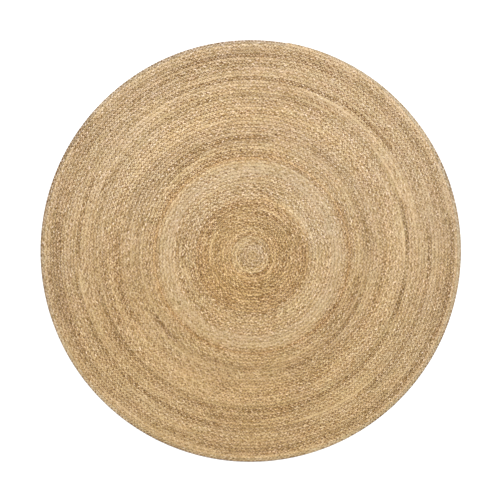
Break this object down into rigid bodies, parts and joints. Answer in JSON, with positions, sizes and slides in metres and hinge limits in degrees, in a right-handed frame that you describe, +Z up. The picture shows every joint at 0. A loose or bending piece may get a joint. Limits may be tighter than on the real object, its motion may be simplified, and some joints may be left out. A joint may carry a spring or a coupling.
{
  "type": "round braided jute rug",
  "caption": "Large round floor rug made of one flat jute braid coiled in a spiral and sewn edge to edge, natural tan with paler and darker rings.",
  "frame": {"origin": "middle of the flat underside, on the floor", "axes": "+Z up, square to the rug; +X and +Y along the floor, with the tail of the braid at the rim near +Y, 10 degrees towards +X"},
  "size_m": [1.9968, 2.0022, 0.009],
  "materials": {
    "jute": "matt, fibrous and undyed, in slightly paler and darker lengths"
  },
  "bodies": {
    "root": {"coiled_braid": "jute"}
  },
  "joints": []
}
